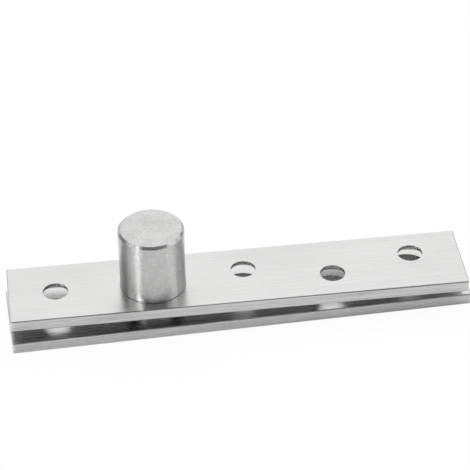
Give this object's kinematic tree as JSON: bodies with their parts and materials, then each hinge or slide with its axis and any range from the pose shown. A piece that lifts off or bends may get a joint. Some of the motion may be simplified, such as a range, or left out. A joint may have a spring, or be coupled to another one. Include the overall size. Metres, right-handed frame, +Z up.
{
  "type": "pivot hinge",
  "caption": "Two flat steel leaves, one above the other, that turn all the way round on a riveted pin in a closed cup, with a ball thrust bearing between them.",
  "frame": {"origin": "on the pivot axis, at the underside of the lower leaf", "axes": "+X along the long arm of the lower leaf, +Z up the pivot pin, +Y across the leaf"},
  "size_m": [0.1315, 0.0278, 0.03],
  "materials": {
    "leaf_steel": "brushed along the leaf",
    "turned_steel": "fine turned, satin",
    "bearing_steel": "ground",
    "ball_steel": "polished",
    "cage_steel": "machined",
    "bronze": "sintered, oiled"
  },
  "bodies": {
    "lower_leaf": {"floor_plate": "leaf_steel", "pivot_pin": "turned_steel", "thrust_washer_lower": "bearing_steel"},
    "ball_set": {"ball_cage": "cage_steel", "bearing_ball_01": "ball_steel", "bearing_ball_02": "ball_steel", "bearing_ball_03": "ball_steel", "bearing_ball_04": "ball_steel", "bearing_ball_05": "ball_steel", "bearing_ball_06": "ball_steel", "bearing_ball_07": "ball_steel", "bearing_ball_08": "ball_steel", "bearing_ball_09": "ball_steel", "bearing_ball_10": "ball_steel", "bearing_ball_11": "ball_steel", "bearing_ball_12": "ball_steel"},
    "bearing_top": {"thrust_washer_upper": "bearing_steel"},
    "upper_leaf": {"door_plate": "leaf_steel", "pivot_cup": "turned_steel", "bearing_bush": "bronze"}
  },
  "joints": [
    {"name": "door_swing", "type": "hinge", "parent": "lower_leaf", "child": "bearing_top", "pos_m": [0, 0, 0.0052], "axis": [0, 0, 1], "continuous": true},
    {"name": "ball_orbit", "type": "hinge", "parent": "lower_leaf", "child": "ball_set", "pos_m": [0, 0, 0.0052], "axis": [0, 0, 1], "continuous": true},
    {"name": "door_lift", "type": "slide", "parent": "bearing_top", "child": "upper_leaf", "axis": [0, 0, 1], "range_m": [0, 0.021]}
  ],
  "couplings": [
    {"joint": "ball_orbit", "follows": "door_swing", "ratio": 0.5}
  ]
}
